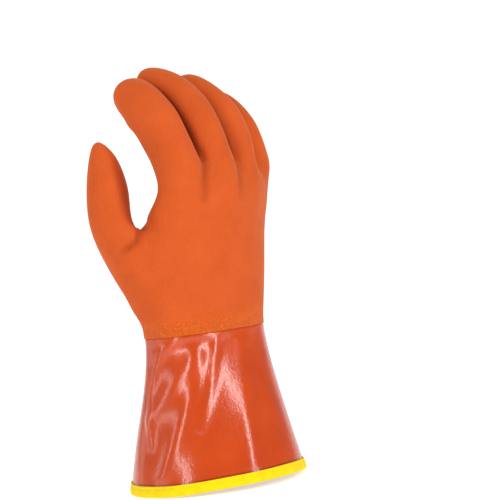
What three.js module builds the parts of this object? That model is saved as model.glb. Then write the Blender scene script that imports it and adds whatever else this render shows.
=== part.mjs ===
// A right-hand gauntlet work glove, dipped in PVC, standing upright as a hand fills it.
//
// Millimetres. +Z runs from the arm opening to the fingertips, the back of the hand faces -Y, the
// palm +Y, and the thumb is on the -X side. The origin is the centre of the arm opening.
//
// The real glove is one seamless dipped tube, so its outside is modelled as one net of four-sided
// faces, smoothed by Catmull-Clark subdivision. The net is parted where the rough hand coat ends,
// each part gets its wall, and the hem tape is folded round the lower edge.
import * as THREE from "three";

// Driving sizes of the cuff.
const CUFF_LENGTH = 107; // arm opening to the edge of the rough coat
const HEM_WIDTH = 130; // arm opening, thumb side to little-finger side
const HEM_DEPTH = 124; // arm opening, back to palm
const WRIST_WIDTH = 95.5;
const WRIST_DEPTH = 67;
const WRIST_SHIFT = 1; // wrist from the middle of the arm opening, towards the little finger
const WRIST_SETBACK = 2; // wrist from the middle of the arm opening, towards the back
const CUFF_WALL = 2.0; // lining and smooth coat
const FLUTE_DEPTH = 2.2; // height of the soft folds that run down the cuff

// Driving sizes of the hem tape.
const TAPE_HEIGHT = 7.5;
const TAPE_THICKNESS = 1.0;
const TAPE_ROUNDING = 0.5;

// Driving sizes of the hand.
const HAND_LENGTH = 98; // edge of the rough coat to the knuckles
const PALM_THICKNESS = 36; // back to palm at the knuckles
const PALM_HOLLOW = 3; // how far the middle of the palm lies behind its two mounds
const MOUND_HEIGHT = 12; // fullness of the ball of the thumb over the palm
const WEB_REACH = 6.7; // fullness of the web between the hand and the thumb
const KNUCKLE_ARCH = 18; // drop of the row of knuckles from its crown to its end
const HAND_SHIFT = 14.8; // knuckles from the middle of the arm opening, towards the little finger
const HAND_SETBACK = 34; // knuckles from the middle of the arm opening, towards the back
const HAND_WALL = 2.6; // lining, smooth coat and rough coat
const COAT_STEP = 0.5; // how far the rough coat stands proud of the cuff

// Driving sizes of the fingers, given for the middle one, and of the thumb.
const FINGER_LENGTH = 108; // knuckle to tip
const FINGER_WIDTH = 27.5;
const FINGER_DEPTH = 30;
const FINGER_GAP = 1.4; // air between neighbouring fingers
const CROTCH_HEIGHT = 20; // knuckle to the crotch between two fingers
const VALLEY_DEPTH = 4; // furrow between two knuckles
const THUMB_LENGTH = 142; // edge of the rough coat to the tip of the thumb
const THUMB_REACH = 66; // how far the thumb stands out from the middle of the hand
const THUMB_WIDTH = 29;
const THUMB_DEPTH = 29;

const GAP = 0.3; // clearance between neighbouring pieces

// Sections of the cuff, from the arm opening to the wrist. up is a share of CUFF_LENGTH. taper says
// how far the section has gone from the size and place of the opening to those of the wrist.
const CUFF_SECTIONS = [
  { up: 0.14, taper: 0.14 },
  { up: 0.31, taper: 0.34 },
  { up: 0.48, taper: 0.55 },
  { up: 0.66, taper: 0.77 },
  { up: 0.84, taper: 0.94 },
  { up: 1.0, taper: 1.0 },
];

// Soft folds down the cuff. around is the angle of the fold's crest at the arm opening, in degrees
// from the little-finger side round by the palm, drift how far the crest has turned at the wrist,
// and spread its half width, also in degrees. height is a share of FLUTE_DEPTH, below zero for a
// furrow. The fold fades out at the shares low and high of CUFF_LENGTH.
const FLUTES = [
  { around: -160, drift: 12, spread: 11, height: 1.0, low: -0.3, high: 0.9 },
  { around: -184, drift: 8, spread: 12, height: -0.9, low: -0.2, high: 0.95 },
  { around: -132, drift: 4, spread: 13, height: -0.7, low: -0.2, high: 0.9 },
  { around: -108, drift: -2, spread: 14, height: 0.9, low: -0.4, high: 0.75 },
  { around: -40, drift: -6, spread: 16, height: -0.8, low: -0.3, high: 0.85 },
  { around: 40, drift: 10, spread: 18, height: 0.8, low: -0.3, high: 0.8 },
  { around: 88, drift: 6, spread: 14, height: -0.9, low: -0.2, high: 0.9 },
  { around: 130, drift: -4, spread: 14, height: 0.8, low: -0.3, high: 0.85 },
];

// Sections of the hand, from just over the wrist to the knuckles. up is a share of HAND_LENGTH.
// width, depth, shift and arch say how far each has gone from its wrist value to its knuckle value.
// furrow, hollow, mound and web are shares of VALLEY_DEPTH, PALM_HOLLOW, MOUND_HEIGHT and WEB_REACH.
const HAND_SECTIONS = [
  { up: 0.1, width: 0.1, depth: 0.15, shift: 0.06, arch: 0.02,
    furrow: 0, hollow: 0.2, mound: 0.25, web: 0.15 },
  { up: 0.38, width: 0.25, depth: 0.5, shift: 0.32, arch: 0.2,
    furrow: 0, hollow: 0.8, mound: 0.85, web: 0.5 },
  { up: 0.7, width: 0.7, depth: 0.82, shift: 0.62, arch: 0.6,
    furrow: 0.15, hollow: 1.0, mound: 0.9, web: 1.0 },
  { up: 0.86, width: 0.92, depth: 0.93, shift: 0.86, arch: 0.87,
    furrow: 0.4, hollow: 0.7, mound: 0.3, web: 0.85 },
  { up: 1.0, width: 1.0, depth: 1.0, shift: 1.0, arch: 1.0,
    furrow: 0.8, hollow: 0, mound: 0, web: 0.35 },
];
const ARCH_CROWN = -0.3; // place of the arch's crown, from -1 at the thumb side to 1
const KNUCKLE_ROUNDNESS = 2.55; // 2 is an ellipse, more is squarer
const OPENING_ROUNDNESS = 2;
const SIDE_START = 0.92; // share of the half width where a section turns into its side
const WEB_START = 0.7; // share of the half width where the web begins
const WEB_DIRECTION = new THREE.Vector3(-1, 0.5, 0).normalize(); // to the thumb side and the palm

// Fingers from the thumb side. width, depth and length are shares of the finger sizes, and knuckle
// is the height of the knuckle as a share of HAND_LENGTH. bends gives the angles of the three bones
// from upright, and turn how far the curl is turned towards the thumb, all in degrees.
const FINGERS = [
  { name: "index", width: 1.09, depth: 1.09, length: 0.9, knuckle: 1.0, bends: [21, 33, 47], turn: 2 },
  { name: "middle", width: 1.0, depth: 1.0, length: 1.0, knuckle: 1.01, bends: [17, 36, 56], turn: 4 },
  { name: "ring", width: 0.98, depth: 0.98, length: 0.94, knuckle: 0.98, bends: [11, 34, 56], turn: 6 },
  { name: "little", width: 0.95, depth: 0.95, length: 0.84, knuckle: 0.92, bends: [8, 26, 48], turn: 6 },
];
const BONES = [0.42, 0.26, 0.32]; // shares of a finger's length
const ROOT_FOLLOWS_ARCH = 0.8; // how far a finger's root is turned with the row of knuckles

// Rings along a finger from the crotch to the tip. at is the share of the way, and width, back and
// pad are shares of the finger's half width and half depth. The pad side creases where it bends.
const FINGER_RINGS = [
  { at: 0.13, width: 0.97, back: 1.0, pad: 1.0 },
  { at: 0.29, width: 0.97, back: 1.0, pad: 1.02 },
  { at: 0.42, width: 1.0, back: 1.02, pad: 0.88 },
  { at: 0.56, width: 0.98, back: 0.97, pad: 1.0 },
  { at: 0.7, width: 0.96, back: 0.93, pad: 0.93 },
  { at: 0.84, width: 0.9, back: 0.85, pad: 0.9 },
  { at: 0.955, width: 0.66, back: 0.6, pad: 0.66 },
];

// The crotch between two fingers. up is a share of CROTCH_HEIGHT and depth of the half depth.
const CROTCH = {
  back: { up: 0.75, depth: 0.5 },
  pad: { up: 1.3, depth: 0.5 },
};

// Rings along the thumb. across is a share of THUMB_REACH towards the thumb side, out a share of it
// towards the palm, and up a share of THUMB_LENGTH. tilt is the angle of the thumb there from
// upright and twist how far its nail is turned towards the back, in degrees. width, back and pad are
// shares of the thumb's half width and half depth.
const THUMB_RINGS = [
  { across: 0.89, out: 0.125, up: 0.412, tilt: 72, twist: 0, width: 1.36, back: 1.05, pad: 1.03 },
  { across: 0.935, out: 0.175, up: 0.518, tilt: 42, twist: 8, width: 1.22, back: 0.98, pad: 0.8 },
  { across: 0.94, out: 0.185, up: 0.63, tilt: 12, twist: 16, width: 1.08, back: 0.98, pad: 0.9 },
  { across: 0.92, out: 0.19, up: 0.745, tilt: -2, twist: 24, width: 0.98, back: 1.0, pad: 1.0 },
  { across: 0.9, out: 0.195, up: 0.86, tilt: -6, twist: 30, width: 0.82, back: 0.84, pad: 0.84 },
  { across: 0.875, out: 0.2, up: 0.95, tilt: -10, twist: 34, width: 0.52, back: 0.52, pad: 0.52 },
];
const THUMB_TIP = { across: 0.86, out: 0.205, up: 1.0 };
const THUMB_ROWS = { low: 0, high: 2 }; // hand sections between which the thumb leaves the palm

// A ring of few sides shrinks when it is smoothed. RING_KEEPS is the share of its radius it keeps.
const RING_SIDES = 8;
const RING_KEEPS = (4 + 2 * Math.cos((2 * Math.PI) / RING_SIDES)) / 6;

const lerp = THREE.MathUtils.lerp;
const radians = THREE.MathUtils.degToRad;
const degrees = THREE.MathUtils.radToDeg;

// Points joined into four-sided faces, which run round them as seen from outside.
class Net {
  points = [];
  faces = [];
  add(point) {
    return this.points.push(point.clone()) - 1;
  }
  // Faces between two closed rings of points, the lower one first.
  join(lower, upper, isOpen = () => false) {
    lower.forEach((corner, i) => {
      const next = (i + 1) % lower.length;
      if (!isOpen(i)) this.faces.push([corner, lower[next], upper[next], upper[i]]);
    });
  }
  // Closes a ring with faces round its tip.
  close(ring, tip) {
    for (let i = 0; i < ring.length; i += 2)
      this.faces.push([tip, ring[i], ring[i + 1], ring[(i + 2) % ring.length]]);
  }
}

// The lanes of the four fingers across the row of knuckles.
const laneWidths = FINGERS.map((finger) => finger.width * FINGER_WIDTH + FINGER_GAP);
const KNUCKLE_WIDTH = laneWidths.reduce((sum, width) => sum + width, 0) - FINGER_GAP;
const laneEnds = laneWidths.map((_, k) => laneWidths.slice(0, k + 1).reduce((sum, w) => sum + w, 0));
const laneCentres = laneEnds.map((end, k) => end - (laneWidths[k] + FINGER_GAP + KNUCKLE_WIDTH) / 2);

// Places across a section, from -1 at the thumb side to 1. Furrows lie between the lanes.
const stations = FINGERS.flatMap((_, k) => [
  { s: (2 * laneCentres[k]) / KNUCKLE_WIDTH, furrow: 0 },
  { s: (2 * laneEnds[k] - FINGER_GAP) / KNUCKLE_WIDTH - 1, furrow: 1 },
]).slice(0, -1);
stations.unshift({ s: -SIDE_START, furrow: 0 });
stations.push({ s: SIDE_START, furrow: 0 });

const opening = { x: 0, y: 0, halfWidth: HEM_WIDTH / 2, halfDepth: HEM_DEPTH / 2 };
const wrist = {
  x: WRIST_SHIFT, y: -WRIST_SETBACK,
  halfWidth: WRIST_WIDTH / 2, halfDepth: WRIST_DEPTH / 2,
};
const knuckles = {
  x: HAND_SHIFT, y: -HAND_SETBACK,
  halfWidth: KNUCKLE_WIDTH / 2, halfDepth: PALM_THICKNESS / 2,
};
const plain = { arch: 0, furrow: 0, hollow: 0, mound: 0, web: 0 };

function mix(from, to, shares) {
  const keys = Object.keys(from);
  return Object.fromEntries(keys.map((key) => [key, lerp(from[key], to[key], shares[key])]));
}

// even says how far the points of a section are evenly spaced and its outline is an ellipse, from 1
// at the arm opening to 0 at the knuckles.
function cuffSection({ up, taper }) {
  const shares = { x: taper, y: taper, halfWidth: taper, halfDepth: taper };
  return { ...mix(opening, wrist, shares), ...plain, z: up * CUFF_LENGTH, even: 1 - taper / 2 };
}

function handSection(row) {
  const shares = { x: row.shift, y: row.shift, halfWidth: row.width, halfDepth: row.depth };
  return {
    ...mix(wrist, knuckles, shares),
    z: CUFF_LENGTH + row.up * HAND_LENGTH,
    even: (1 - row.up) / 2,
    arch: row.arch * KNUCKLE_ARCH,
    furrow: row.furrow * VALLEY_DEPTH,
    hollow: row.hollow * PALM_HOLLOW,
    mound: row.mound * MOUND_HEIGHT,
    web: row.web * WEB_REACH,
  };
}

// The arch of the knuckles at a place across them: its drop as a share, and its slope.
const archDrop = (s) => (s - ARCH_CROWN) ** 2;
const archAngle = (s) => Math.atan((2 * KNUCKLE_ARCH * (s - ARCH_CROWN)) / (KNUCKLE_WIDTH / 2));

// How far the folds of the cuff lift a point at an angle in degrees and a share of the cuff's length.
function fluteLift(angle, up) {
  return FLUTES.reduce((lift, fold) => {
    const crest = fold.around + fold.drift * up;
    const away = ((angle - crest + 540) % 360) - 180;
    const along = THREE.MathUtils.clamp((up - fold.low) / (fold.high - fold.low), 0, 1);
    const profile = Math.exp(-((away / fold.spread) ** 2)) * Math.sin(Math.PI * along);
    return lift + fold.height * FLUTE_DEPTH * profile;
  }, 0);
}

// One section as a ring of points: the back from the thumb side on, the little-finger edge, the palm
// the other way, and the thumb edge.
function sectionRing(net, section) {
  const { x, y, z, halfWidth, halfDepth, arch, furrow, hollow, mound, web, even } = section;
  const up = z / CUFF_LENGTH;
  const roundness = lerp(KNUCKLE_ROUNDNESS, OPENING_ROUNDNESS, even);
  const place = (s, across) => {
    const lift = up < 1 ? fluteLift(degrees(Math.atan2(across, s * halfWidth)), up) : 0;
    const point = new THREE.Vector3(s * halfWidth, across, 0);
    point.setLength(point.length() + lift);
    point.addScaledVector(WEB_DIRECTION, web * THREE.MathUtils.smoothstep(-s, WEB_START, 1));
    return net.add(point.add(new THREE.Vector3(x, y + arch * archDrop(s), z)));
  };
  const bulge = (s) => halfDepth * (1 - Math.abs(s) ** roundness) ** (1 / roundness);
  const places = stations.map((at, i) => {
    const evenly = -Math.cos((Math.PI * (i + 1)) / (stations.length + 1));
    return { s: lerp(at.s, evenly, even), furrow: furrow * at.furrow };
  });
  const relief = (s) => mound * THREE.MathUtils.smoothstep(-s, 0, SIDE_START) - hollow * (1 - s ** 2);
  const back = places.map((at) => place(at.s, at.furrow - bulge(at.s)));
  const palm = places.map((at) => place(at.s, bulge(at.s) - at.furrow + relief(at.s)));
  return [...back, place(1, 0), ...palm.reverse(), place(-1, 0)];
}

// An eight-sided ring square to a direction, from its thumb-side corner on the back.
function roundRing(net, { centre, along, across, halfWidth, back, pad }) {
  const sideways = across.clone().addScaledVector(along, -across.dot(along)).normalize();
  const backwards = new THREE.Vector3().crossVectors(sideways, along);
  return Array.from({ length: RING_SIDES }, (_, i) => {
    const angle = ((3 - i) * 2 * Math.PI) / RING_SIDES;
    const depth = Math.sin(angle) > 0 ? back : pad;
    return net.add(centre.clone()
      .addScaledVector(sideways, (Math.cos(angle) * halfWidth) / RING_KEEPS)
      .addScaledVector(backwards, (Math.sin(angle) * depth) / RING_KEEPS));
  });
}

// The middle line of a finger, from its knuckle over its two joints to its tip.
function fingerRoute(finger, k) {
  const bones = BONES.map((share) => share * finger.length * FINGER_LENGTH);
  const s = (2 * laneCentres[k]) / KNUCKLE_WIDTH;
  const turn = radians(finger.turn);
  const joints = [new THREE.Vector3(
    knuckles.x + laneCentres[k],
    knuckles.y + KNUCKLE_ARCH * archDrop(s),
    CUFF_LENGTH + finger.knuckle * HAND_LENGTH,
  )];
  finger.bends.forEach((bend, i) => {
    const curl = Math.sin(radians(bend));
    const bone = new THREE.Vector3(
      -Math.sin(turn) * curl, Math.cos(turn) * curl, Math.cos(radians(bend)));
    joints.push(bone.multiplyScalar(bones[i]).add(joints.at(-1)));
  });
  return new THREE.CatmullRomCurve3(joints, false, "centripetal");
}

// The four fingers grow from the last section of the hand. Neighbours share their crotch points. A
// finger's own turn takes over from that of its root by halfway.
function addFingers(net, knuckleRing) {
  const fingers = FINGERS.map((finger, k) => {
    const route = fingerRoute(finger, k);
    const start = CROTCH_HEIGHT / route.getLength();
    const rootTurn = ROOT_FOLLOWS_ARCH * archAngle((2 * laneCentres[k]) / KNUCKLE_WIDTH);
    const ring = (at, size) => {
      const u = lerp(start, 1, at);
      const halfDepth = (finger.depth * FINGER_DEPTH) / 2;
      const turn = lerp(rootTurn, radians(finger.turn), Math.min(2 * at, 1));
      return roundRing(net, {
        centre: route.getPointAt(u), along: route.getTangentAt(u),
        across: new THREE.Vector3(Math.cos(turn), Math.sin(turn), 0),
        halfWidth: (size.width * finger.width * FINGER_WIDTH) / 2,
        back: size.back * halfDepth, pad: size.pad * halfDepth,
      });
    };
    return { route, ring, root: ring(0, { width: 1, back: 1, pad: 1 }) };
  });
  const roots = fingers.map((finger) => finger.root);
  for (let k = 0; k + 1 < roots.length; k++) {
    const [thumbwards, next] = [roots[k], roots[k + 1]];
    const middle = net.points[thumbwards[3]].lerp(net.points[next[7]], 0.5);
    for (const [i, j, place] of [[2, 0, CROTCH.back], [4, 6, CROTCH.pad]]) {
      const corner = net.points[thumbwards[i]].lerp(net.points[next[j]], 0.5);
      // The corner of a ring lies at 45 degrees, at the half depth over the root of two.
      corner.sub(middle).multiplyScalar(place.depth * Math.SQRT2).add(middle);
      corner.z = middle.z + (place.up - 1) * CROTCH_HEIGHT;
    }
    next[0] = thumbwards[2];
    next[7] = thumbwards[3];
    next[6] = thumbwards[4];
  }
  const index = roots[0];
  const little = roots.at(-1);
  const backEdge = roots.flatMap((root) => [root[0], root[1]]);
  const palmEdge = roots.toReversed().flatMap((root) => [root[4], root[5]]);
  net.join(knuckleRing, [...backEdge, little[2], little[3], ...palmEdge, index[6], index[7]]);
  for (const finger of fingers) {
    let ring = finger.root;
    for (const size of FINGER_RINGS) {
      const next = finger.ring(size.at, size);
      net.join(ring, next);
      ring = next;
    }
    net.close(ring, net.add(finger.route.getPointAt(1)));
  }
}

// The thumb grows from the opening left between two sections of the hand.
function addThumb(net, [low, middle, high]) {
  const edge = low.length - 1;
  const place = ({ across, out, up }) => new THREE.Vector3(
    -across * THUMB_REACH, out * THUMB_REACH, CUFF_LENGTH + up * THUMB_LENGTH);
  let ring = [
    low[edge - 1], low[edge], low[0], middle[0],
    high[0], high[edge], high[edge - 1], middle[edge - 1],
  ];
  for (const row of THUMB_RINGS) {
    const tilt = radians(row.tilt);
    const twist = radians(row.twist);
    const next = roundRing(net, {
      centre: place(row),
      along: new THREE.Vector3(-Math.sin(tilt), 0, Math.cos(tilt)),
      across: new THREE.Vector3(Math.sin(twist), -Math.cos(twist), 0),
      halfWidth: (row.width * THUMB_WIDTH) / 2,
      back: (row.back * THUMB_DEPTH) / 2, pad: (row.pad * THUMB_DEPTH) / 2,
    });
    net.join(ring, next);
    ring = next;
  }
  net.close(ring, net.add(place(THUMB_TIP)));
}

function gloveNet() {
  const net = new Net();
  // The wall of the cuff starts just over the fold of the tape.
  const start = (TAPE_THICKNESS + GAP) / CUFF_LENGTH;
  const rim = { up: start, taper: start };
  const cuffRings = [rim, ...CUFF_SECTIONS].map((row) => sectionRing(net, cuffSection(row)));
  const handRings = HAND_SECTIONS.map((row) => sectionRing(net, handSection(row)));
  const rings = [...cuffRings, ...handRings];
  const first = cuffRings.length + THUMB_ROWS.low;
  const last = cuffRings.length + THUMB_ROWS.high;
  const edge = rings[0].length - 1;
  rings.slice(0, -1).forEach((ring, r) => {
    const atThumb = r >= first && r < last;
    net.join(ring, rings[r + 1], (i) => atThumb && i >= edge - 1);
  });
  addThumb(net, rings.slice(first, last + 1));
  addFingers(net, rings.at(-1));
  return net;
}

const edgeName = (a, b) => `${Math.min(a, b)}_${Math.max(a, b)}`;

// The edges of a net by name, each with its two ends and the numbers of its faces.
function edgesOf(net) {
  const edges = new Map();
  net.faces.forEach((face, f) => face.forEach((a, i) => {
    const b = face[(i + 1) % face.length];
    const name = edgeName(a, b);
    if (!edges.has(name)) edges.set(name, { ends: [a, b], faces: [] });
    edges.get(name).faces.push(f);
  }));
  return edges;
}

// One round of Catmull-Clark subdivision. A rim is smoothed along itself.
function subdivide(net) {
  const finer = new Net();
  const edges = edgesOf(net);
  const middles = net.faces.map((face) => average(face.map((i) => net.points[i])));
  const near = net.points.map(() => ({ middles: [], ends: [], rim: [] }));
  net.faces.forEach((face, f) => face.forEach((i) => near[i].middles.push(middles[f])));
  for (const { ends, faces } of edges.values()) {
    ends.forEach((i, side) => {
      const other = net.points[ends[1 - side]];
      near[i].ends.push(average([net.points[i], other]));
      if (faces.length === 1) near[i].rim.push(other);
    });
  }
  const corners = net.points.map((point, i) => {
    const { middles: around, ends, rim } = near[i];
    if (!around.length) return -1;
    if (rim.length) return finer.add(average(rim).multiplyScalar(0.25).addScaledVector(point, 0.75));
    const n = around.length;
    return finer.add(average(around).addScaledVector(average(ends), 2)
      .addScaledVector(point, n - 3).divideScalar(n));
  });
  for (const edge of edges.values()) {
    const nearby = edge.ends.map((i) => net.points[i]);
    if (edge.faces.length === 2) nearby.push(...edge.faces.map((f) => middles[f]));
    edge.point = finer.add(average(nearby));
  }
  net.faces.forEach((face, f) => {
    const middle = finer.add(middles[f]);
    face.forEach((i, k) => {
      const after = edges.get(edgeName(i, face[(k + 1) % face.length])).point;
      const before = edges.get(edgeName(i, face.at(k - 1))).point;
      finer.faces.push([corners[i], after, middle, before]);
    });
  });
  return finer;
}

function average(points) {
  return points.reduce((sum, point) => sum.add(point), new THREE.Vector3()).divideScalar(points.length);
}

// The faces of a net whose middle lies between two heights.
function between(net, low, high) {
  const kept = new Net();
  const numbers = new Map();
  for (const face of net.faces) {
    const { z } = average(face.map((i) => net.points[i]));
    if (z < low || z > high) continue;
    kept.faces.push(face.map((i) => {
      if (!numbers.has(i)) numbers.set(i, kept.add(net.points[i]));
      return numbers.get(i);
    }));
  }
  return kept;
}

// Outward directions at the points of a net, level along a rim.
function outwards(net) {
  const directions = net.points.map(() => new THREE.Vector3());
  for (const face of net.faces) {
    const [a, b, c, d] = face.map((i) => net.points[i]);
    const normal = new THREE.Vector3().crossVectors(c.clone().sub(a), d.clone().sub(b));
    face.forEach((i) => directions[i].add(normal));
  }
  for (const { ends, faces } of edgesOf(net).values())
    if (faces.length === 1) ends.forEach((i) => directions[i].setZ(0));
  return directions.map((direction) => direction.normalize());
}

// A closed wall: the net moved inwards by inset, and a second skin one wall further in.
function wallGeometry(net, inset, wall) {
  const directions = outwards(net);
  const count = net.points.length;
  const skin = (depth) =>
    net.points.map((point, i) => point.clone().addScaledVector(directions[i], -depth));
  const triangles = net.faces.flatMap(([a, b, c, d]) => [
    [a, b, c], [a, c, d],
    [c + count, b + count, a + count], [d + count, c + count, a + count],
  ]);
  for (const { ends: [a, b], faces } of edgesOf(net).values()) {
    if (faces.length === 1) triangles.push([b, a, a + count], [b, a + count, b + count]);
  }
  return geometryOf([...skin(inset), ...skin(inset + wall)], triangles);
}

function geometryOf(points, triangles) {
  const geometry = new THREE.BufferGeometry();
  const numbers = points.flatMap((point) => point.toArray());
  geometry.setAttribute("position", new THREE.Float32BufferAttribute(numbers, 3));
  geometry.setIndex(triangles.flat());
  geometry.computeVertexNormals();
  return geometry;
}

// The hem tape: its folded section carried round the lower edge of the cuff, up along its wall.
function tapeGeometry(cuff) {
  const directions = outwards(cuff);
  const edges = [...edgesOf(cuff).values()];
  const lowest = Math.min(...cuff.points.map((point) => point.z));
  const low = (i) => cuff.points[i].z < lowest + GAP;
  const rim = edges.filter((edge) => edge.faces.length === 1 && edge.ends.every(low));
  const following = new Map(rim.map((edge) => edge.ends));
  const loop = [following.keys().next().value];
  while (loop.length < following.size) loop.push(following.get(loop.at(-1)));
  const climbs = new Map();
  for (const { ends } of edges) {
    const i = ends.find(low);
    const above = ends.find((end) => !low(end));
    if (i === undefined || above === undefined) continue;
    const climb = cuff.points[above].clone().sub(cuff.points[i]);
    climbs.set(i, climb.divideScalar(climb.z));
  }

  // The section of the tape: up its near side, over its fold and down again, as out and up.
  const near = GAP - COAT_STEP;
  const far = -COAT_STEP - CUFF_WALL - GAP;
  const [thick, round, high] = [TAPE_THICKNESS, TAPE_ROUNDING, TAPE_HEIGHT];
  const section = [
    [near, high], [near, thick],
    [far, thick], [far, high],
    [far - thick + round, high], [far - thick, high - round],
    [far - thick, round], [far - thick + round, 0],
    [near + thick - round, 0], [near + thick, round],
    [near + thick, high - round], [near + thick - round, high],
  ];
  const points = loop.flatMap((i) => section.map(([out, z]) => cuff.points[i].clone()
    .addScaledVector(directions[i], out).addScaledVector(climbs.get(i), z - lowest)));
  const n = section.length;
  const triangles = loop.flatMap((_, i) => section.flatMap((_, j) => {
    const here = i * n;
    const next = ((i + 1) % loop.length) * n;
    const k = (j + 1) % n;
    return [[here + j, next + k, here + k], [here + j, next + j, next + k]];
  }));
  return geometryOf(points, triangles);
}

const glove = subdivide(gloveNet());
const hand = between(glove, CUFF_LENGTH, Infinity);
const cuff = between(glove, -Infinity, CUFF_LENGTH);
// The cuff stops a gap short of the rough coat.
const top = Math.max(...cuff.points.map((point) => point.z));
cuff.points.forEach((point) => {
  if (point.z > top - GAP) point.z -= GAP;
});

const group = new THREE.Group();
function addPiece(name, geometry, finish) {
  const mesh = new THREE.Mesh(geometry, new THREE.MeshStandardMaterial({ metalness: 0, ...finish }));
  mesh.name = name;
  group.add(mesh);
}
addPiece("hand_coat", wallGeometry(hand, 0, HAND_WALL), { color: 0xe0602a, roughness: 0.85 });
addPiece("cuff", wallGeometry(cuff, COAT_STEP, CUFF_WALL), { color: 0xd04a1c, roughness: 0.25 });
addPiece("hem_tape", tapeGeometry(cuff), { color: 0xf2e400, roughness: 0.5 });

export default group;
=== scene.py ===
# %% [markdown]
# # A PVC coated work glove
#
# A gauntlet work glove for the right hand. A knitted lining is pulled over a hand-shaped former
# and dipped twice: once to the arm opening in smooth glossy PVC, and once to the wrist in rough
# PVC that grips. The lower edge is bound in yellow tape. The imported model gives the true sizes,
# and this notebook gives the look.
#
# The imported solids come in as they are, in metres, and stay where they are. Every main piece made
# below stands for one of them, so the box round them is kept as the measure of the finished glove.

import math

import bmesh
import bpy
import numpy as np
from mathutils import Matrix, Vector
from mathutils.bvhtree import BVHTree


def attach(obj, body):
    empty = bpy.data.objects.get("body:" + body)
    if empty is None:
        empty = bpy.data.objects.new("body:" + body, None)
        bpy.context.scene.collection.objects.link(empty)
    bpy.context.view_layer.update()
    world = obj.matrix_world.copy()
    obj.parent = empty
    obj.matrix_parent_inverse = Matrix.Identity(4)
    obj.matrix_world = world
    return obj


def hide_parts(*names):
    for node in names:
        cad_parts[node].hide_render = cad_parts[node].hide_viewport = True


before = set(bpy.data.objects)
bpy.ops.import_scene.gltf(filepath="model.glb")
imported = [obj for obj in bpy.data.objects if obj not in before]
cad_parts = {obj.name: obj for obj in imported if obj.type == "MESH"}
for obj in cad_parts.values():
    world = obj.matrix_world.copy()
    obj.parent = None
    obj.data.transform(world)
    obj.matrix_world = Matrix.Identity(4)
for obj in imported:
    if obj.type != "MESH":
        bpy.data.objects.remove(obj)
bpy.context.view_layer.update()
MM = 0.001
print("pieces in the frame:", ", ".join(sorted(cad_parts)))

# %% [markdown]
# ## Points as arrays
#
# A glove has no straight edges to build from, so most shapes below are rules that move points.
# Reading all the points of a mesh into one array lets such a rule be a line of arithmetic, which
# is shorter and much faster than a loop over the vertices.


# %% Points and values of a mesh
def coordinates(mesh):
    flat = np.empty(len(mesh.vertices) * 3)
    mesh.vertices.foreach_get("co", flat)
    return flat.reshape(-1, 3)


def place_vertices(mesh, points):
    mesh.vertices.foreach_set("co", points.astype(np.float32).ravel())
    mesh.update()


def normals(mesh):
    flat = np.empty(len(mesh.vertices) * 3, np.float32)
    mesh.vertex_normals.foreach_get("vector", flat)
    return flat.reshape(-1, 3).astype(float)


def values(mesh, attribute):
    found = np.empty(len(mesh.vertices))
    mesh.attributes[attribute].data.foreach_get("value", found)
    return found


def set_values(mesh, attribute, found):
    layer = mesh.attributes.get(attribute) or mesh.attributes.new(attribute, "FLOAT", "POINT")
    layer.data.foreach_set("value", found.astype(np.float32))


def smooth_step(low, high, x):
    """Runs from 0 at low to 1 at high, level at both ends."""
    t = np.clip((x - low) / (high - low), 0, 1)
    return t * t * (3 - 2 * t)


def surface_tree(mesh):
    """The mesh's faces, sorted so that a ray finds the first one that it meets."""
    faces = [tuple(face.vertices) for face in mesh.polygons]
    return BVHTree.FromPolygons(coordinates(mesh).tolist(), faces)


for node_name, node_piece in sorted(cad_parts.items()):
    print(node_name, "has", len(coordinates(node_piece.data)), "packed points")

# %% [markdown]
# ## The two skins of a wall
#
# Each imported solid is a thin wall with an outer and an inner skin, which meet at the rims of its
# open ends. Later steps need to know which skin a point is on, so that a crease moves both the
# same way. Starting from the widest place, a fill over neighbouring faces that stops at the rims
# finds the outer skin, whatever the wall's shape.

# %% Outer and inner skin
SHARP_ANGLE = math.radians(60)
RIM_LEVEL = 0.95  # how upright a rim face's normal is, at least
RIM_REACH = 1 * MM  # how far a rim lies from the lowest or highest point, at most
RIM_FACE = 30 * MM * MM  # area of a rim face, at most


def is_rim(face, low, high):
    """True for the small level faces between the two skins at an open end."""
    height = face.calc_center_median().z
    return (abs(face.normal.z) > RIM_LEVEL and face.calc_area() < RIM_FACE
            and (height < low + RIM_REACH or height > high - RIM_REACH)
            and any(edge.calc_face_angle() > SHARP_ANGLE for edge in face.edges))


def mark_inner_skin(cage):
    """Gives the points of the inner skin the value 1, and those of the outer skin 0."""
    low = min(vertex.co.z for vertex in cage.verts)
    high = max(vertex.co.z for vertex in cage.verts)
    rims = {face for face in cage.faces if is_rim(face, low, high)}
    widest = max(cage.verts, key=lambda vertex: vertex.co.x ** 2 + vertex.co.y ** 2)
    queue = [face for face in widest.link_faces if face not in rims]
    outer = set(queue)
    while queue:
        for edge in queue.pop().edges:
            for face in edge.link_faces:
                if face not in outer and face not in rims:
                    outer.add(face)
                    queue.append(face)
    layer = cage.verts.layers.float.new("inner_skin")
    for vertex in cage.verts:
        vertex[layer] = 0.0 if any(face in outer for face in vertex.link_faces) else 1.0
    print("outer skin:", len(outer), "of", len(cage.faces), "faces, and", len(rims), "on the rims")


def outward(mesh):
    """Directions out of the glove, the same on both skins of a wall."""
    return normals(mesh) * np.sign(0.5 - values(mesh, "inner_skin"))[:, None]


# %% [markdown]
# ## From packed triangles to smooth skins
#
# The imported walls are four-sided faces cut into triangles. Joining each pair again gives a clean
# cage, which subdivision turns into a smooth skin. A voxel remesh would be smooth too, but it
# would round off the thin rims. Subdivision pulls a cage inwards, so the cage is first pushed out
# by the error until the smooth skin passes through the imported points.

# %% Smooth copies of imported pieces
WELD = 1e-6
SHARP_WEIGHT = 0.6
PUSHES = 3


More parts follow.
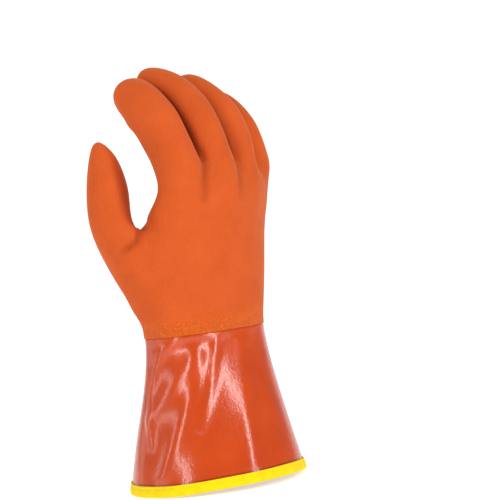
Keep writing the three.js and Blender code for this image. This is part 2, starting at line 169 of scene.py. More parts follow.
def add_piece(name, mesh):
    piece = bpy.data.objects.new(name, mesh)
    bpy.context.scene.collection.objects.link(piece)
    return piece


def evaluated_mesh(piece):
    """The mesh that a piece has once its modifiers have run."""
    graph = bpy.context.evaluated_depsgraph_get()
    return bpy.data.meshes.new_from_object(piece.evaluated_get(graph), depsgraph=graph)


def quad_cage(node, name):
    """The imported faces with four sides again, as a mesh with its skins and rims marked."""
    cage = bmesh.new()
    cage.from_mesh(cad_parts[node].data)
    bmesh.ops.remove_doubles(cage, verts=cage.verts, dist=WELD)
    bmesh.ops.join_triangles(cage, faces=cage.faces,
                             angle_face_threshold=math.pi, angle_shape_threshold=math.pi)
    mark_inner_skin(cage)
    sharp = cage.edges.layers.float.new("crease_edge")
    for edge in cage.edges:
        edge[sharp] = SHARP_WEIGHT if edge.calc_face_angle() > SHARP_ANGLE else 0.0
    mesh = bpy.data.meshes.new(name)
    cage.to_mesh(mesh)
    cage.free()
    return mesh


def smooth_copy(node, name, levels):
    mesh = quad_cage(node, name)
    piece = add_piece(name, mesh)
    smoother = piece.modifiers.new("smooth", "SUBSURF")
    smoother.levels = levels
    target = coordinates(mesh)
    for _ in range(PUSHES):
        fine = evaluated_mesh(piece)
        place_vertices(mesh, coordinates(mesh) + target - coordinates(fine)[:len(target)])
        bpy.data.meshes.remove(fine)
    fine = evaluated_mesh(piece)
    piece.modifiers.clear()
    piece.data = fine
    bpy.data.meshes.remove(mesh)
    fine.name = name
    fine.shade_smooth()
    print(name, "has", len(fine.polygons), "faces")
    return piece


hand = smooth_copy("hand_coat", "rough_hand_coat", levels=2)
cuff = smooth_copy("cuff", "smooth_cuff", levels=3)

# %% [markdown]
# ## How a finish is made
#
# A finish is a tree of shader nodes. Written out node by node it is hard to read, so a small class
# gives the steps plain names: noise of a real size, a value kept on the mesh, a blend of two
# colours, a bump. Sizes are in metres, because the patterns read Object coordinates, and those are
# metres here.

# %% Steps of a finish
SOFT = (0.3, 0.7)  # most noise lies between these two, so they become 0 and 1


def give(tree, socket, value):
    """Links the socket to another node's output, or sets it to a value."""
    if isinstance(value, bpy.types.NodeSocket):
        tree.links.new(value, socket)
    else:
        socket.default_value = value


def add_node(tree, kind, inputs, settings):
    node = tree.nodes.new(kind)
    for key, value in settings.items():
        setattr(node, key, value)
    for key, value in inputs.items():
        give(tree, node.inputs[key], value)
    return node


class Finish:
    """A material built from plainly named steps."""

    def __init__(self, name):
        self.material = bpy.data.materials.new(name)
        self.material.use_nodes = True
        self.tree = self.material.node_tree
        self.shader = self.tree.nodes["Principled BSDF"]
        self.place = self.add("TexCoord").outputs["Object"]

    def add(self, kind, inputs=None, **settings):
        return add_node(self.tree, "ShaderNode" + kind, inputs or {}, settings)

    def noise(self, size, detail=2.0, roughness=0.5):
        """Noise whose grains are about size metres across."""
        return self.add("TexNoise", {"Vector": self.place, "Scale": 1 / size, "Detail": detail,
                                     "Roughness": roughness}).outputs["Fac"]

    def attribute(self, name):
        return self.add("Attribute", attribute_name=name).outputs["Fac"]

    def math(self, operation, a, b=0.0, clamp=False):
        return self.add("Math", {0: a, 1: b}, operation=operation, use_clamp=clamp).outputs[0]

    def times(self, a, b):
        return self.math("MULTIPLY", a, b)

    def span(self, value, low, high, to_low=0.0, to_high=1.0):
        """The value stretched so that low and high become to_low and to_high."""
        return self.add("MapRange", {"Value": value, "From Min": low, "From Max": high,
                                     "To Min": to_low, "To Max": to_high}).outputs["Result"]

    def blend(self, share, a, b):
        """Colour a where the share is 0 and colour b where it is 1."""
        return self.add("Mix", {0: share, 6: a, 7: b}, data_type="RGBA").outputs[2]

    def bump(self, height, strength, distance, under=None):
        inputs = {"Height": height, "Strength": strength, "Distance": distance}
        if under is not None:
            inputs["Normal"] = under
        return self.add("Bump", inputs).outputs["Normal"]

    def done(self, **inputs):
        """Gives the shader its inputs, an underscore standing for each space in a name."""
        for key, value in inputs.items():
            give(self.tree, self.shader.inputs[key.replace("_", " ")], value)
        print(self.material.name, "is made of", len(self.tree.nodes), "nodes")
        return self.material


# %% [markdown]
# ## The rough coat
#
# The second dip carries a fine grit, so the coat is matte as sandstone and pale at a grazing
# angle, which the shader's sheen gives. Its colour clouds a little, and its first centimetre above
# the cuff has a coarser, yellower grain. It is also painted darker as shade in the hollows, in
# the creases and on the inner side of the thumb. Noise alone can't know where those places are, so
# it reads values that later steps keep on the mesh.

# %% Rough coat
ROUGH_DEEP = (0.48, 0.068, 0.009, 1)
ROUGH_PALE = (0.54, 0.082, 0.013, 1)
ROUGH_GRAIN = (0.70, 0.125, 0.025, 1)
BAND_GRAIN = (0.78, 0.145, 0.004, 1)
# Painted shade: the colour laid on the hollows, the creases and the inner side of the thumb.
PAINTED_SHADE = (0.24, 0.021, 0.002, 1)
GRIT_SIZE = 0.9 * MM
BAND_GRIT_SIZE = 1.4 * MM
ROUGH_CLOUD_SIZE = 22 * MM
GRIT_SPAN = (0.35, 0.65)
BAND_GRIT_SPAN = (0.38, 0.62)
HOLLOW_SPAN = (0.34, 0.7)  # hollows from the first that darkens to the darkest


def rough_coat():
    finish = Finish("rough matte PVC")
    cloud = finish.span(finish.noise(ROUGH_CLOUD_SIZE, 3), *SOFT)
    grit = finish.span(finish.noise(GRIT_SIZE, 3, 0.6), *GRIT_SPAN)
    band_grit = finish.times(finish.span(finish.noise(BAND_GRIT_SIZE, 2, 0.6), *BAND_GRIT_SPAN),
                             finish.attribute("coarse_band"))
    plain = finish.blend(cloud, ROUGH_DEEP, ROUGH_PALE)
    speckled = finish.blend(finish.times(grit, 0.25), plain, ROUGH_GRAIN)
    banded = finish.blend(finish.times(band_grit, 0.5), speckled, BAND_GRAIN)
    # Painted shade: darker with a place's depth in a hollow, a crease's depth and the thumb's inner
    # side.
    sunk = finish.math("ADD", finish.span(finish.attribute("hollow"), *HOLLOW_SPAN, 0.0, 0.95),
                       finish.times(finish.attribute("crease"), 0.55))
    shade_share = finish.math("ADD", sunk, finish.times(finish.attribute("painted_thumb_shade"), 0.85),
                         clamp=True)
    fine = finish.bump(grit, 0.35, 0.3 * MM)
    return finish.done(Base_Color=finish.blend(shade_share, banded, PAINTED_SHADE),
                       Normal=finish.bump(band_grit, 0.8, 0.5 * MM, fine), Roughness=0.85,
                       Sheen_Weight=0.35, Sheen_Roughness=0.35, Sheen_Tint=(1.0, 0.55, 0.3, 1),
                       Specular_IOR_Level=0.15)


rough = rough_coat()

# %% [markdown]
# ## The smooth coat
#
# The first dip is the same PVC without the grit. It looks wet, and its long highlights show how
# the film lies. A plain glossy shader would look like glass, so two bumps break the highlights up:
# a slow swell of the film and the fine peel where the knit shows through it. A thin line of
# painted shade darkens the film where it goes under the tape.

# %% Smooth coat
FILM_DEEP = (0.45, 0.042, 0.001, 1)
FILM_PALE = (0.52, 0.053, 0.002, 1)
PAINTED_FILM_SHADE = (0.13, 0.012, 0.001, 1)
FILM_CLOUD_SIZE = 30 * MM
SWELL_SIZE = 12 * MM
PEEL_SIZE = 1.6 * MM
SHINE_SIZE = 1.2 * MM
FILM_ROUGHNESS = (0.16, 0.27)


def smooth_coat():
    finish = Finish("smooth glossy PVC")
    cloud = finish.span(finish.noise(FILM_CLOUD_SIZE), *SOFT)
    plain = finish.blend(cloud, FILM_DEEP, FILM_PALE)
    # Painted shade: a thin dark line on the film just above the tape's edge.
    film_shade_line = finish.times(finish.attribute("painted_tape_shade"), 0.85)
    swell = finish.bump(finish.noise(SWELL_SIZE), 0.1, 2 * MM)
    peel = finish.bump(finish.noise(PEEL_SIZE, 2, 0.55), 0.4, 0.4 * MM, swell)
    shine = finish.span(finish.noise(SHINE_SIZE), *SOFT, *FILM_ROUGHNESS)
    return finish.done(Base_Color=finish.blend(film_shade_line, plain, PAINTED_FILM_SHADE), Normal=peel,
                       Roughness=shine, IOR=1.54)


gloss = smooth_coat()

# %% [markdown]
# ## The tape's finish
#
# The binding is a plain-woven polyester tape. Two sine waves, one along the tape and one across
# it, multiply into the over and under of its threads. They read lengths kept on the tape's mesh,
# so the weave follows the tape round the hem, which it could not do on Object coordinates.

# %% Woven tape
TAPE_DEEP = (0.84, 0.60, 0.001, 1)
TAPE_PALE = (0.91, 0.68, 0.002, 1)
TAPE_IN_SEAM = (0.55, 0.38, 0.0, 1)
WARP_PITCH = 1.1 * MM
WEFT_PITCH = 0.6 * MM
TAPE_CLOUD_SIZE = 8 * MM
FUZZ_SIZE = 0.6 * MM


def woven_tape():
    finish = Finish("woven yellow tape")
    warp, weft = (
        finish.math("SINE", finish.times(finish.attribute(name), 2 * math.pi / pitch))
        for name, pitch in (("along", WARP_PITCH), ("across", WEFT_PITCH)))
    cloud = finish.span(finish.noise(TAPE_CLOUD_SIZE), *SOFT)
    plain = finish.blend(cloud, TAPE_DEEP, TAPE_PALE)
    in_seam = finish.times(finish.attribute("seam"), 0.45)
    weave = finish.bump(finish.times(warp, weft), 0.5, 0.12 * MM)
    return finish.done(Base_Color=finish.blend(in_seam, plain, TAPE_IN_SEAM),
                       Normal=finish.bump(finish.noise(FUZZ_SIZE), 0.4, 0.2 * MM, weave),
                       Roughness=0.7, Sheen_Weight=0.05, Specular_IOR_Level=0.1)


yellow = woven_tape()

# %% [markdown]
# ## The thread's finish
#
# The seam is sewn in a spun thread of nearly the tape's colour, a little brighter and shinier. A
# stitch is only half a millimetre thick, so fine noise stands for the twist of its strands.

# %% Sewing thread
THREAD_DEEP = (0.80, 0.60, 0.003, 1)
THREAD_PALE = (0.93, 0.76, 0.006, 1)
THREAD_CLOUD_SIZE = 1.5 * MM
TWIST_SIZE = 0.3 * MM


def sewing_thread():
    finish = Finish("yellow thread")
    colour = finish.blend(finish.noise(THREAD_CLOUD_SIZE), THREAD_DEEP, THREAD_PALE)
    twist = finish.bump(finish.noise(TWIST_SIZE, 1), 0.5, 0.1 * MM)
    return finish.done(Base_Color=colour, Normal=twist, Roughness=0.5, Specular_IOR_Level=0.4)


thread = sewing_thread()

# %% [markdown]
# ## The set of the hand
#
# The filled glove stands a little differently from its former: the thumb leans out to a blunt
# point, the web sits higher and the fingertips curl more. An armature could bend the fingers, but
# these moves are small, so they are pulls, as with a sculptor's grab brush. Each is strongest at
# its centre and fades out smoothly.

# %% Pulls on the hand
PULLS = (
    # centre, reach and move, in mm
    ((-53, 9, 247), 15, (-3.4, 3.5, -0.8)),  # thumb tip leans out
    ((-50, 5, 226), 13, (-0.8, 0.8, 0.0)),
    ((-66, 20, 165), 20, (1.9, -2.0, 0.0)),  # root of the thumb is slimmer
    ((-52, -5, 177), 9, (0.0, 0.0, 4.6)),  # web of the thumb
    ((-46, -14, 196), 13, (-1.4, 1.5, 0.0)),
    ((-31, 10, 290), 13, (0.0, 0.0, -1.4)),  # tips of the index, middle and ring fingers
    ((-5, 15, 292), 16, (-3.1, 3.2, 0.8)),
    ((28, 8, 290), 14, (-0.4, 0.4, 1.3)),
    ((-47, 10, 122), 11, (-1.1, 1.1, 0.0)),  # side of the wrist
)


def pull_hand(piece):
    points = coordinates(piece.data)
    moves = np.zeros_like(points)
    for centre, reach, move in PULLS:
        away = np.linalg.norm(points - np.array(centre) * MM, axis=1) / (reach * MM)
        moves += np.exp(-away ** 2)[:, None] * np.array(move) * MM
    place_vertices(piece.data, points + moves)
    furthest = np.linalg.norm(moves, axis=1).max() / MM
    print("pulls move the coat by up to", round(furthest, 1), "mm")


pull_hand(hand)

# %% [markdown]
# ## Creases of the hand
#
# Where the fingers and the thumb leave the hand, the coat keeps soft furrows on the back, and on
# the palm side it creases where the hand bends. A bump could darken them but not bend the light
# round them, so the coat itself is pressed in. Each crease is a bent line, deepest along its
# middle, with a low lip on both sides.

# %% Lines of the creases
BACK_CREASES = (
    # points in mm, depth and half width in mm
    (((-49, -6, 186), (-54, -8, 178), (-59, -9, 174), (-64.7, -5.7, 170), (-67, -2, 168)),
     1.9, 2.4),
    (((-11, -32.6, 231), (-12.6, -36, 224), (-17.5, -41, 217), (-21.5, -43.5, 209),
      (-23, -44, 197)), 1.5, 3.4),
    (((20.3, -33.5, 229), (18.5, -37, 221), (11, -45, 213), (7.5, -48, 206), (7, -48.3, 197)),
     1.2, 3.2),
    (((35, -36.7, 236), (40, -35, 226), (41, -36, 216), (39.5, -38, 207), (39, -38.5, 200)),
     0.7, 2.8),
)
PALM_CREASES = (
    # places as (towards the little finger, up) in mm, depth and half width in mm
    (((-9, 226), (-16, 218), (-26, 208), (-36, 197), (-43, 188)), 1.9, 2.2),
    (((-36, 249), (-30, 248), (-19, 250)), 0.7, 3.0),
    (((-8, 254), (1, 252), (11, 254)), 1.7, 3.2),
    (((21, 253), (30, 251), (40, 253)), 1.2, 3.0),
    (((49, 244), (58, 242), (67, 244)), 1.0, 3.0),
    (((-6, 223), (4, 219), (15, 222)), 0.8, 2.6),
    (((19, 222), (30, 217), (42, 220)), 0.8, 2.6),
    (((46, 215), (56, 211), (67, 214)), 0.7, 2.6),
    (((-44, 182), (-39, 170), (-31, 157), (-24, 146)), 1.0, 5.0),
)
PALM_SIDE = 0.2  # metres along Y, well clear of the palm


def crease_routes(mesh):
    """Each crease as points in metres, depth and half width; those of the palm are cast on it."""
    tree = surface_tree(mesh)
    routes = [(np.array(route) * MM, depth, width) for route, depth, width in BACK_CREASES]
    for places, depth, width in PALM_CREASES:
        hits = [tree.ray_cast(Vector((x * MM, PALM_SIDE, z * MM)), Vector((0, -1, 0)))[0]
                for x, z in places]
        routes.append((np.array(hits), depth, width))
    return routes


routes = crease_routes(hand.data)
print("creases:", len(BACK_CREASES), "on the back and", len(PALM_CREASES), "on the palm")

# %% Pressing the creases in
LIP_HEIGHT = 0.3  # share of the crease's depth
LIP_PLACE = 2.2  # in half widths from the crease
CREASE_ENDS = (0.08, 0.84)  # where the half wave along a crease starts, and how much it covers
FADE_POWER = 0.6
# depth at which the painted shade of a crease is darkest
FULLY_SUNK = 1.6 * MM


def from_route(points, route):
    """Distance of each point from a bent line, and the share of the line passed there."""
    best = np.full(len(points), 1.0)
    passed = np.zeros(len(points))
    for i, (start, end) in enumerate(zip(route, route[1:])):
        run = end - start
        share = np.clip((points - start) @ run / (run @ run), 0, 1)
        away = np.linalg.norm(points - start - share[:, None] * run, axis=1)
        closer = away < best
        best[closer] = away[closer]
        passed[closer] = (i + share[closer]) / (len(route) - 1)
    return best, passed


def crease_hand(piece, routes):
    """Presses each crease in, so that it fades out at its ends."""
    points = coordinates(piece.data)
    sunk = np.zeros(len(points))
    start, covered = CREASE_ENDS
    for route, depth, width in routes:
        away, passed = from_route(points, route)
        away /= width * MM
        fade = np.sin(np.pi * (start + covered * passed)) ** FADE_POWER
        lips = LIP_HEIGHT * np.exp(-(away - LIP_PLACE) ** 2)
        sunk += depth * MM * fade * (np.exp(-away ** 2) - lips)
    place_vertices(piece.data, points - outward(piece.data) * sunk[:, None])
    # The depth is kept too, and the rough coat paints the creases darker with it, as shade.
    set_values(piece.data, "crease", np.clip(sunk / FULLY_SUNK, 0, 1))
    print("creases are up to", round(sunk.max() / MM, 2), "mm deep")


crease_hand(hand, routes)

# %% [markdown]
# ## Painted shade in the hollows
#
# In the crotches of the fingers and thumb the coat is painted darker, as the shade that falls
# there. How deep a place lies in a hollow is the share of short straight lines out of it that meet
# the glove again. A shader can measure that while it renders, but here it is measured once with
# rays and kept on the mesh, where the rough coat reads it as painted shade.

# %% Hollows of the hand
RAYS = 24
REACH = 45 * MM
CLEAR = 0.4 * MM  # a ray starts this far off the coat, so that it doesn't meet its own face
FAN = 0.95  # 1 would take the rays down to the surface itself
HOLLOW_ROUNDS = 4


def rays_over(count):
    """Evenly spread directions over a half ball about +Z, as an array."""
    step = np.arange(count) + 0.5
    up = 1 - step / count * FAN
    turn = step * math.pi * (3 - math.sqrt(5))
    flat = np.sqrt(1 - up ** 2)
    return np.stack([flat * np.cos(turn), flat * np.sin(turn), up], axis=1)


def smoothed(mesh, found, rounds):
    """Values of the vertices, each mixed with its neighbours."""
    ends = np.empty(len(mesh.edges) * 2, int)
    mesh.edges.foreach_get("vertices", ends)
    a, b = ends[0::2], ends[1::2]
    count = np.bincount(ends, minlength=len(found))
    for _ in range(rounds):
        total = np.bincount(a, found[b], len(found)) + np.bincount(b, found[a], len(found))
        found = 0.5 * found + 0.5 * total / count
    return found


def measure_hollows(piece):
    mesh = piece.data
    points = coordinates(mesh)
    facing = normals(mesh)
    tree = surface_tree(mesh)
    fan = rays_over(RAYS)
    found = np.zeros(len(points))
    for i in np.nonzero(values(mesh, "inner_skin") < 0.5)[0]:
        turn = np.array(Vector(facing[i]).to_track_quat("Z", "Y").to_matrix())
        start = Vector(points[i] + facing[i] * CLEAR)
        for ray in fan @ turn.T:
            away = tree.ray_cast(start, Vector(ray), REACH)[3]
            if away is not None:
                found[i] += (1 - away / REACH) / RAYS
    # The rough coat reads this value as painted shade.
    set_values(mesh, "hollow", smoothed(mesh, found, HOLLOW_ROUNDS))
    print("hollows from", round(found.min(), 2), "to", round(found.max(), 2))


measure_hollows(hand)

# %% [markdown]
# ## Where the coat changes
#
# Two more places of the coat differ: the narrow band of coarser grain that it starts with above
# the cuff, and the inner side of the thumb, which faces away from the lights into the hand's
# shade and is painted darker. Painting them by hand would need a map, and a rule is enough: a
# height for the band, and for the thumb the way it faces.

# %% Band of coarse grain and painted shade on the inner side of the thumb
BAND = (5 * MM, 16 * MM)  # the coarse grain fades out between these heights above the coat's edge
THUMB_STARTS = (-36 * MM, -46 * MM)  # X from the hand's side into the thumb
THUMB_ROOT = (168 * MM, 190 * MM)  # heights over which the mark comes in
THUMB_TIP = (215 * MM, 245 * MM)  # heights over which most of it goes again
TIP_LOSS = 0.6
INWARDS = (0.7, -0.714, 0.0)  # from the thumb towards the index finger
FACES_INWARDS = (0.3, 0.9)


def mark_band(piece):
    height = coordinates(piece.data)[:, 2]
    band = 1 - smooth_step(*BAND, height - height.min())
    set_values(piece.data, "coarse_band", band)
    print("points in the coarse band:", int((band > 0.5).sum()))


def mark_thumb_shade(piece):
    # Painted shade: the thumb's inner side, facing the index finger, is marked to be darkened.
    x, _, height = coordinates(piece.data).T
    inwards = smooth_step(*FACES_INWARDS, outward(piece.data) @ np.array(INWARDS))
    length = smooth_step(*THUMB_ROOT, height) * (1 - TIP_LOSS * smooth_step(*THUMB_TIP, height))
    inside = inwards * smooth_step(*THUMB_STARTS, x) * length
    set_values(piece.data, "painted_thumb_shade", inside)
    print("points inside the thumb:", int((inside > 0.5).sum()))


mark_band(hand)
mark_thumb_shade(hand)

# %% [markdown]
# ## The smooth cuff
#
# PVC film is stiff enough to crumple in a few long soft folds, which run from the wrist down to the
# hem and turn sideways where the sleeve flares. A cloth simulation would crumple it somewhere
# else, so each fold is a crest through places on the cuff, given by the angle round it and the
# height, and the film beside a crest sinks a little.

# %% Folds of the cuff
FOLDS = (
    # crest as (angle in degrees, height in mm), height of the fold and half width in mm
    (((-159, 104), (-172, 97), (-184, 83), (-189, 68), (-190, 51), (-187, 34)), 1.3, 4.5),
    (((-188, 50), (-177, 62), (-163, 72), (-152, 81), (-143, 90)), 1.6, 7.0),
    (((-142, 91), (-142, 79), (-147, 66), (-154, 50), (-161, 37), (-169, 21), (-177, 5)),
     2.1, 7.5),
    (((-117, 106), (-121, 97), (-126, 86), (-131, 71), (-137, 58), (-143, 43)), 1.2, 4.0),
    (((-86, 96), (-92, 78), (-99, 62), (-104, 48), (-107, 34), (-110, 21), (-112, 6)), 1.3, 7.0),
)
FOLD_SINKS = 0.35  # share of a fold's height
SINK_WIDTH = 2.6  # in half widths of the fold
HELD_BY_TAPE = (6 * MM, 14 * MM)  # heights over which the folds come in above the tape
HELD_BY_HAND = (98 * MM, 105.5 * MM)  # heights over which they end under the rough coat


def along_crest(crest, angle, height, radius):
    """Distance in metres from each point to a crest, measured on the cuff's surface."""
    best = np.full(len(angle), 1.0)
    for (a0, z0), (a1, z1) in zip(crest, crest[1:]):
        run = np.radians(a1 - a0) * radius
        rise = (z1 - z0) * MM
        turned = (angle - a0 + 540) % 360 - 180  # from -180 to 180 degrees
        across = np.radians(turned) * radius
        climb = height - z0 * MM
        share = np.clip((across * run + climb * rise) / (run ** 2 + rise ** 2), 0, 1)
        best = np.minimum(best, np.hypot(across - share * run, climb - share * rise))
    return best


def fold_cuff(piece):
    points = coordinates(piece.data)
    x, y, height = points.T
    angle = np.degrees(np.arctan2(y, x))
    radius = np.hypot(x, y)
    lift = np.zeros(len(points))
    for crest, fold, width in FOLDS:
        away = along_crest(crest, angle, height, radius) / (width * MM)
        sink = FOLD_SINKS * np.exp(-(away / SINK_WIDTH) ** 2)
        lift += fold * MM * (np.exp(-away ** 2) - sink)
    lift *= smooth_step(*HELD_BY_TAPE, height) * (1 - smooth_step(*HELD_BY_HAND, height))
    points[:, :2] += points[:, :2] / radius[:, None] * lift[:, None]
    place_vertices(piece.data, points)
    low, high = lift.min() / MM, lift.max() / MM
    print("folds move the film by", round(low, 2), "to", round(high, 2), "mm")


fold_cuff(cuff)

# %% [markdown]
# ## The film at the tape
#
# Where the film goes under the tape, there is a thin dark line of shade. A gap in the mesh would
# have to be far finer than the rest of the film to draw it, so it is a value on the mesh that the
# smooth coat's finish reads, strongest just above the tape's upper edge.

# %% Shade over the tape
TAPE_TOP = 7.8 * MM
SHADE_WIDTH = 0.6 * MM

above_tape = coordinates(cuff.data)[:, 2] - TAPE_TOP
painted_tape_shade = np.exp(-(above_tape / SHADE_WIDTH) ** 2)
set_values(cuff.data, "painted_tape_shade", painted_tape_shade)
print("points in the shade over the tape:", int((painted_tape_shade > 0.5).sum()))

# %% [markdown]
# ## The hem
#
# The end of a sleeve that holds its own shape is never quite level. The lower edge of the cuff
# rises and dips by up to three millimetres, and the tape and its stitches go with it, so one rule
# moves all three and they can't come apart.

# %% Wave of the hem
HEM_WAVES = ((1.6, 98, 1), (1.2, 98, 2))  # height in mm, turn in degrees, waves round the opening
WAVE_FADES = 45 * MM


def wave_hem(points):
    """The same points, raised or lowered near the arm opening."""
    turn = np.arctan2(points[:, 1], points[:, 0])
    rise = sum(height * MM * np.cos(waves * (turn + math.radians(phase)))
               for height, phase, waves in HEM_WAVES)
    moved = points.copy()
    moved[:, 2] += rise * (1 - smooth_step(0, WAVE_FADES, points[:, 2]))
    return moved


level_film = coordinates(cuff.data)
waved_film = wave_hem(level_film)
place_vertices(cuff.data, waved_film)
wave = (waved_film - level_film)[:, 2] / MM
print("the hem runs from", round(wave.min(), 1), "to", round(wave.max(), 1), "mm off level")

# %% [markdown]
# ## The wall under the tape
#
# The tape has to lie on the cuff all the way round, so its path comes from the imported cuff: rays
# towards the axis meet the wall at two heights, and between them they give the wall's place, the
# way out of it and how it leans.

# %% Wall of the cuff
STATIONS = 420
LOW_CUT = 2 * MM
HIGH_CUT = 7.5 * MM
OUTSIDE = 0.2  # metres from the axis, well clear of the cuff


def wall_of_cuff():
    """Places at the foot of the cuff's outer face, the way out of it, and its climb by height."""
    tree = surface_tree(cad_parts["cuff"].data)
    turns = np.arange(STATIONS) / STATIONS * 2 * math.pi
    cuts = []
    for height in (LOW_CUT, HIGH_CUT):
        cut = []
        for turn in turns:
            inwards = Vector((-math.cos(turn), -math.sin(turn), 0))
            start = Vector((0, 0, height)) - inwards * OUTSIDE
            cut.append(tree.ray_cast(start, inwards)[0])
        cuts.append(np.array(cut))
    low, high = cuts
    ahead = np.roll(low, -1, axis=0) - np.roll(low, 1, axis=0)
    out = np.stack([ahead[:, 1], -ahead[:, 0], 0 * turns], axis=1)
    out /= np.linalg.norm(out, axis=1)[:, None]
    climb = (high - low) / (HIGH_CUT - LOW_CUT)
    return low - climb * LOW_CUT, out, climb


foot, out, climb = wall_of_cuff()
round_hem = np.linalg.norm(foot - np.roll(foot, 1, axis=0), axis=1).sum()
print("the cuff is", round(round_hem / MM), "mm round at the hem")

# %% [markdown]
# ## The hem tape
#
# A woven tape is folded over the edge of the cuff and sewn through with one row of lock stitches.
# It is full between its fold and the seam, and pinched where the thread pulls it down. A curve
# with a bevel would twist on its way, so the section is a short list of points that is carried
# round the wall and closed on itself.

# %% Folded hem tape
TAPE_SECTION = (
    # out from the wall's outer face and up from the fold's underside, in mm
    (0.30, 7.30), (0.30, 4.0), (0.30, 1.12), (0.0, 1.02), (-1.0, 1.0), (-2.0, 1.02),
    (-2.30, 1.12), (-2.30, 4.0), (-2.30, 7.30), (-2.50, 7.48), (-2.85, 7.50), (-3.12, 7.36),
    (-3.26, 6.9), (-3.22, 6.2), (-2.98, 5.5), (-3.26, 4.7), (-3.42, 3.4), (-3.40, 2.0),
    (-3.20, 0.8), (-2.75, 0.16), (-2.0, -0.02), (-1.0, -0.04), (0.0, -0.02), (0.75, 0.16),
    (1.20, 0.8), (1.40, 2.0), (1.42, 3.4), (1.26, 4.7), (0.98, 5.5), (1.22, 6.2), (1.26, 6.9),
    (1.12, 7.36), (0.85, 7.50), (0.50, 7.48),
)
SEAM_HEIGHT = 5.5  # mm, where the section is pinched
SEAM_WIDTH = 0.5  # mm


def lengths_along(points):
    """Length passed at each point of a line, from 0 at the first one."""
    return np.concatenate([[0], np.linalg.norm(np.diff(points, axis=0), axis=1).cumsum()])


def fold_tape(foot, out, climb):
    section = np.array(TAPE_SECTION) * MM
    across, up = section[None, :, :1], section[None, :, 1:]
    rings = foot[:, None] + out[:, None] * across + climb[:, None] * up
    around = len(section)
    faces = [(i * around + j, i * around + (j + 1) % around,
              (i + 1) % STATIONS * around + (j + 1) % around, (i + 1) % STATIONS * around + j)
             for i in range(STATIONS) for j in range(around)]
    mesh = bpy.data.meshes.new("folded_hem_tape")
    mesh.from_pydata(wave_hem(rings.reshape(-1, 3)).tolist(), [], faces)
    seam = np.exp(-((section[:, 1] / MM - SEAM_HEIGHT) / SEAM_WIDTH) ** 2)
    set_values(mesh, "along", np.repeat(lengths_along(foot), around))
    set_values(mesh, "across", np.tile(lengths_along(section), STATIONS))
    set_values(mesh, "seam", np.tile(seam, STATIONS))
    mesh.shade_smooth()
    print("the tape has", len(faces), "faces in", STATIONS, "stations")
    return add_piece("folded_hem_tape", mesh)


tape = fold_tape(foot, out, climb)

# %% [markdown]
# ## One stitch after another
#
# A sewing machine sets a stitch every few millimetres, each one dipping into the tape at its ends.
# Geometry Nodes suit what repeats along a line: the line is cut into equal steps, and one small
# thread, a long thin ball, is set on each step and turned along the line. The sizes are inputs of
# the tree, so another seam could use it.

# %% Tree of the stitches
BALL = {"Segments": 10, "Rings": 7, "Radius": 0.5}  # one across, so its scale is its size


def stitch_tree():
    tree = bpy.data.node_groups.new("lock stitches", "GeometryNodeTree")
    ports = tree.interface
    for name, kind in (("Geometry", "Geometry"), ("Pitch", "Float"), ("Length", "Float"),
                       ("Thickness", "Float"), ("Thread", "Material")):
        ports.new_socket(name, in_out="INPUT", socket_type="NodeSocket" + kind)
    ports.new_socket("Geometry", in_out="OUTPUT", socket_type="NodeSocketGeometry")
    given = tree.nodes.new("NodeGroupInput").outputs

    def add(kind, inputs=None, **settings):
        return add_node(tree, kind, inputs or {}, settings).outputs

    line = add("GeometryNodeMeshToCurve", {"Mesh": given["Geometry"]})["Curve"]
    steps = add("GeometryNodeResampleCurve", {"Curve": line, "Length": given["Pitch"]},
                mode="LENGTH")["Curve"]
    tangent = add("GeometryNodeInputTangent")["Tangent"]
    turned = add("FunctionNodeAlignRotationToVector", {"Vector": tangent}, axis="X")["Rotation"]
    ball = add("GeometryNodeMeshUVSphere", BALL)["Mesh"]
    size = add("ShaderNodeCombineXYZ", {"X": given["Length"], "Y": given["Thickness"],
                                        "Z": given["Thickness"]})["Vector"]
    stitch = add("GeometryNodeTransform", {"Geometry": ball, "Scale": size})["Geometry"]
    row = add("GeometryNodeInstanceOnPoints",
              {"Points": steps, "Instance": stitch, "Rotation": turned})["Instances"]
    real = add("GeometryNodeRealizeInstances", {"Geometry": row})["Geometry"]
    smooth = add("GeometryNodeSetShadeSmooth", {"Geometry": real})["Geometry"]
    dressed = add("GeometryNodeSetMaterial", {"Geometry": smooth, "Material": given["Thread"]})
    add("NodeGroupOutput", {"Geometry": dressed["Geometry"]})
    print("the stitch tree has", len(tree.nodes), "nodes")
    return tree


lock_stitches = stitch_tree()

# %% [markdown]
# ## Stitches of the hem
#
# One seam shows on both sides of the hem, so the tree runs along two closed lines, at the bottom
# of the pinch outside and inside. Its result is then made a plain mesh, because the export takes
# meshes and not instances.

# %% Stitches of the hem
STITCH_PITCH = 2.9 * MM
STITCH_LENGTH = 2.5 * MM
THREAD_WIDTH = 0.55 * MM
SEAM_SINKS = 0.05 * MM


